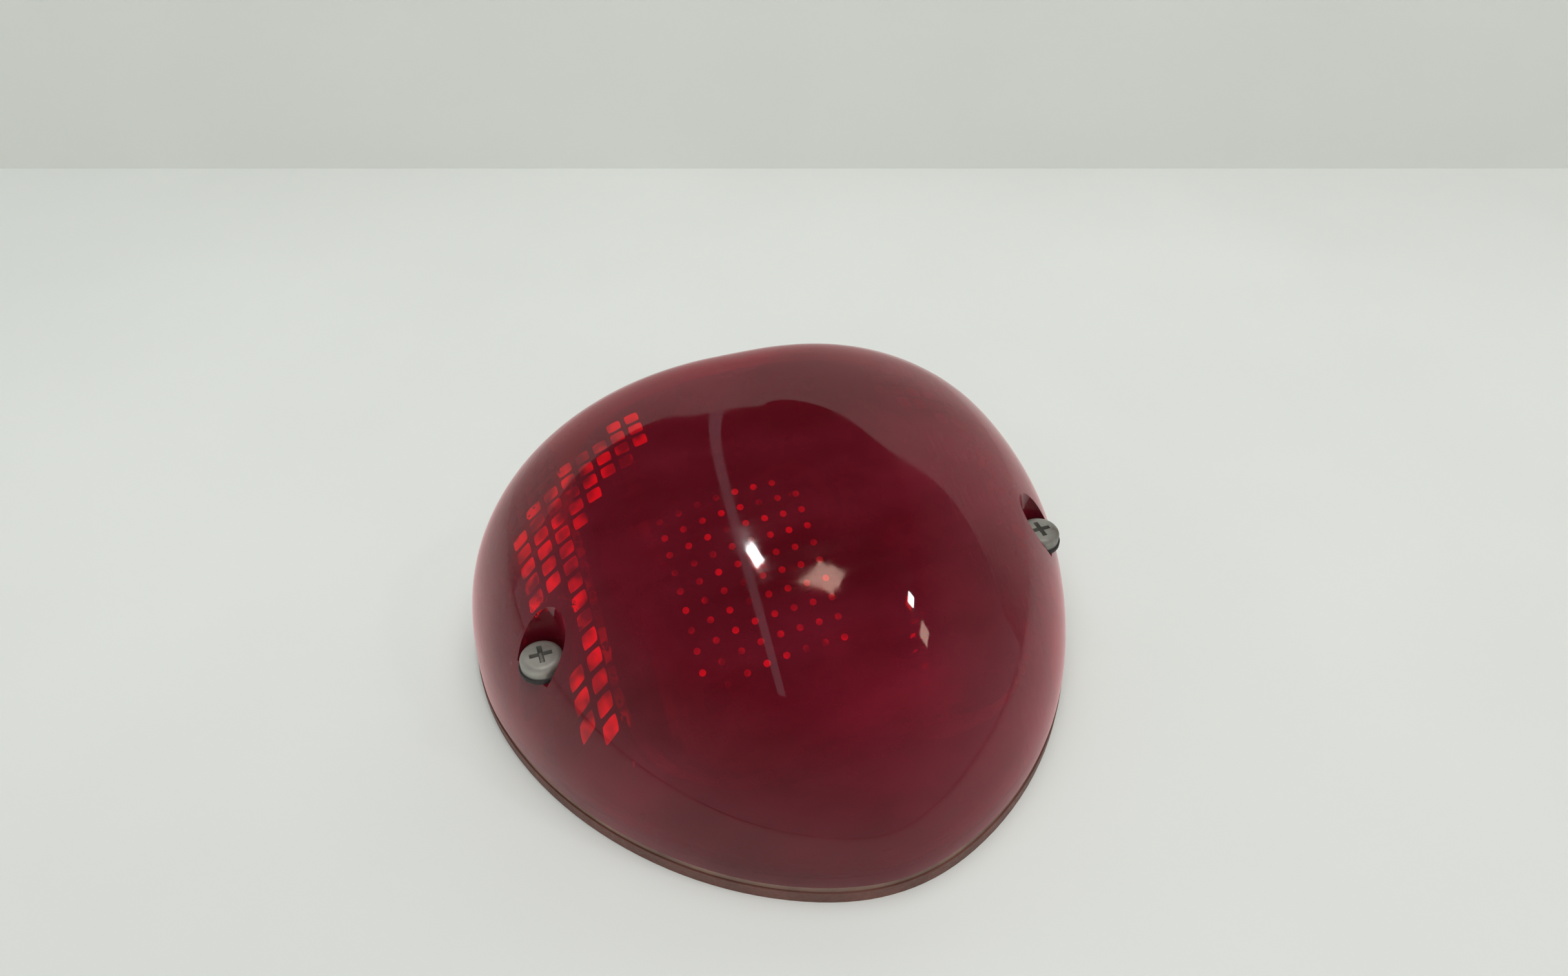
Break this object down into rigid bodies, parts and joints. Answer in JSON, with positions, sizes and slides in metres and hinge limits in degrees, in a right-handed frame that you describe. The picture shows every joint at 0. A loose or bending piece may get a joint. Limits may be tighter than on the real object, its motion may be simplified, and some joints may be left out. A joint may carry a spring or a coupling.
{
  "type": "motorcycle tail light",
  "caption": "Egg-shaped motorcycle tail light: deep red clear dome lens screwed down over a gasket onto a flat housing, with a plated reflector and a bayonet bulb in a sprung socket.",
  "frame": {"origin": "centre of the outline in the flat mounting face (Z = 0)", "axes": "+X across the light, +Y up on the vehicle, +Z out of the lens"},
  "size_m": [0.15, 0.131, 0.068],
  "materials": {
    "lens_red": "deep red clear acrylic, glossy",
    "gasket_rubber": "matt",
    "housing_plastic": "matt dark brown",
    "reflector_plating": "bright plating",
    "screw_zinc": "dull zinc",
    "sheet_steel": "plain",
    "spring_steel": "plain",
    "brass": "plain",
    "carrier_plastic": "brown laminate",
    "insulator_glass": "black glassy",
    "solder": "dull solder",
    "bulb_clear": "clear",
    "filament_wire": "dark"
  },
  "bodies": {
    "housing": {"housing": "housing_plastic", "lens_gasket": "gasket_rubber", "reflector": "reflector_plating", "reflector_screws": "screw_zinc", "lens_screw_inserts": "brass", "mount_inserts": "brass", "socket_sleeve": "sheet_steel", "socket_bracket": "sheet_steel", "socket_rivets": "sheet_steel", "wire_grommet": "gasket_rubber", "contact_spring": "spring_steel"},
    "lens": {"lens": "lens_red"},
    "screw_left": {"lens_screw_left": "screw_zinc", "screw_washer_left": "gasket_rubber"},
    "screw_right": {"lens_screw_right": "screw_zinc", "screw_washer_right": "gasket_rubber"},
    "contacts": {"contact_carrier": "carrier_plastic", "contact_pins": "brass"},
    "bulb": {"bulb_cap": "brass", "bulb_insulator": "insulator_glass", "bulb_contacts": "solder", "bulb_glass": "bulb_clear", "bulb_stem": "bulb_clear", "filament_supports": "filament_wire", "brake_filament": "filament_wire", "tail_filament": "filament_wire"}
  },
  "joints": [
    {"name": "lens_lift", "type": "slide", "parent": "housing", "child": "lens", "axis": [0, 0, 1], "range_m": [0, 0.08]},
    {"name": "screw_left_out", "type": "slide", "parent": "lens", "child": "screw_left", "axis": [0, 0, 1], "range_m": [0, 0.018]},
    {"name": "screw_right_out", "type": "slide", "parent": "lens", "child": "screw_right", "axis": [0, 0, 1], "range_m": [0, 0.018]},
    {"name": "bulb_push", "type": "slide", "parent": "housing", "child": "contacts", "axis": [0, 0, 1], "range_m": [-0.0025, 0], "stiffness_N_per_m": 1500, "springref_m": 0.003, "deforming": ["contact_spring"]},
    {"name": "bulb_turn", "type": "hinge", "parent": "contacts", "child": "bulb", "pos_m": [0, 0.0075, 0], "axis": [0, 0, 1], "range_deg": [0, 20]}
  ]
}
